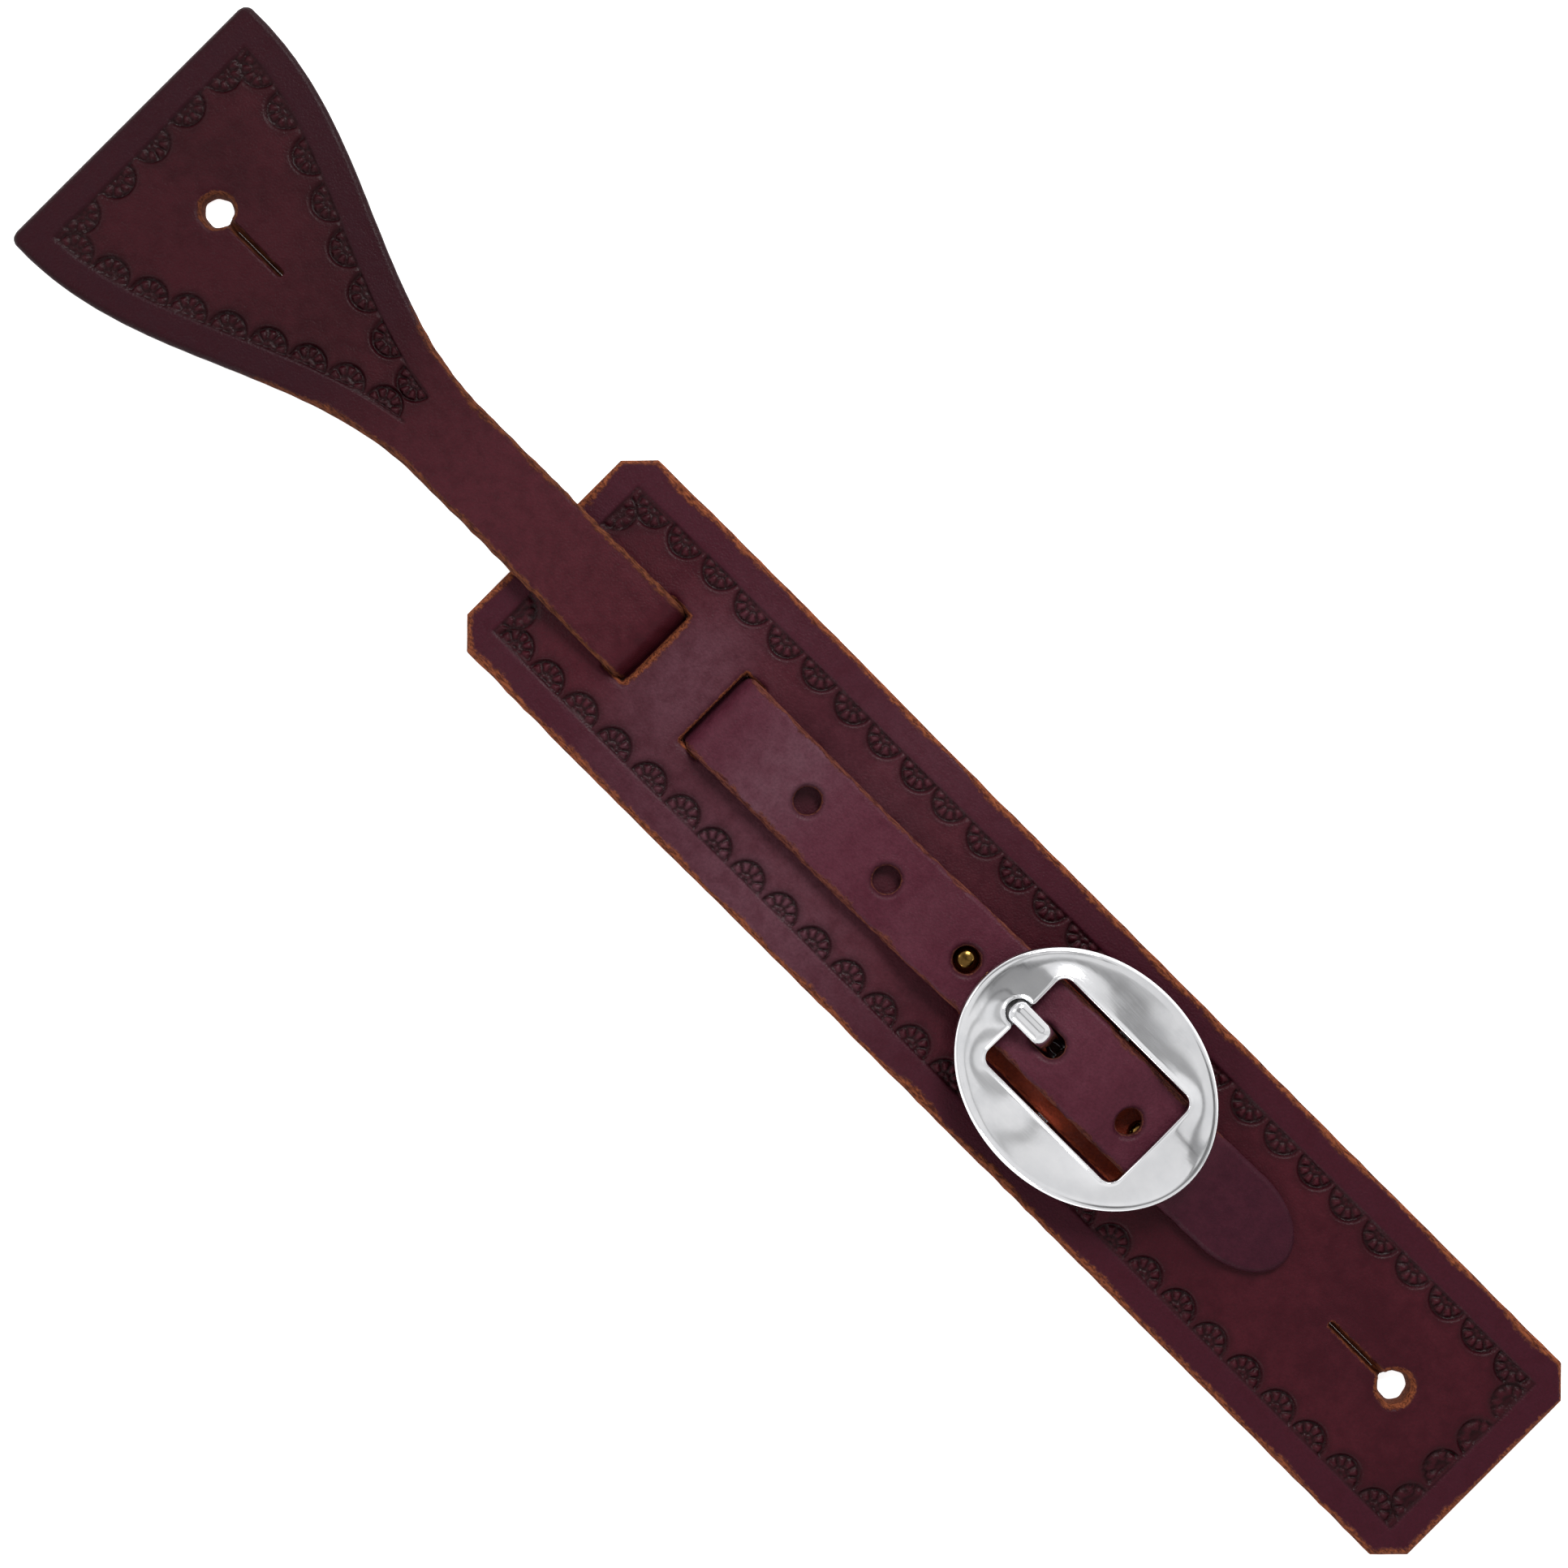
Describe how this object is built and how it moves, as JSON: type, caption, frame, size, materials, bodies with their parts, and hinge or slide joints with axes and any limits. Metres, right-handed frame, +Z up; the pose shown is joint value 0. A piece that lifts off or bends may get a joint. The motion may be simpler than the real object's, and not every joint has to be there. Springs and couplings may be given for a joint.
{
  "type": "western spur strap",
  "caption": "Tooled leather spur strap: wide panel, flared tab laced through two slots and closed by an oval centre-bar buckle, with a buttonhole at each end.",
  "frame": {"origin": "under the middle of the strap, on the surface that it lies on", "axes": "+X along the strap towards the panel's tail, +Z up out of its face, +Y across it"},
  "size_m": [0.361, 0.063, 0.0155],
  "materials": {
    "latigo": "waxed",
    "cut_leather": "matte",
    "polished_steel": "polished",
    "brass": "polished"
  },
  "bodies": {
    "main": {"panel": "latigo", "laced_strap": "latigo", "bar_strip": "cut_leather", "rivets": "brass", "rivet_burrs": "brass"},
    "tab": {"flared_tab": "latigo"},
    "tail": {"panel_tail": "latigo"},
    "tip": {"strap_tip": "latigo"},
    "buckle": {"buckle_frame": "polished_steel", "buckle_bar": "polished_steel"},
    "tongue": {"buckle_tongue": "polished_steel"}
  },
  "joints": [
    {"name": "tab_flex", "type": "hinge", "parent": "main", "child": "tab", "pos_m": [-0.084, 0, 0.00418], "axis": [0, 1, 0], "range_deg": [-60, 60], "stiffness_Nm_per_rad": 0.12},
    {"name": "tail_flex", "type": "hinge", "parent": "main", "child": "tail", "pos_m": [0.13215, 0, 0.0018], "axis": [0, -1, 0], "range_deg": [-60, 60], "stiffness_Nm_per_rad": 0.5},
    {"name": "tip_flex", "type": "hinge", "parent": "main", "child": "tip", "pos_m": [0.1046, 0, 0.00654], "axis": [0, -1, 0], "range_deg": [0, 35], "stiffness_Nm_per_rad": 0.08},
    {"name": "buckle_tilt", "type": "hinge", "parent": "main", "child": "buckle", "pos_m": [0.0733, 0, 0.00665], "axis": [0, 1, 0], "range_deg": [-1.5, 1.5]},
    {"name": "tongue_swing", "type": "hinge", "parent": "buckle", "child": "tongue", "pos_m": [0.0733, 0, 0.00665], "axis": [0, 1, 0], "range_deg": [0, 12]}
  ]
}
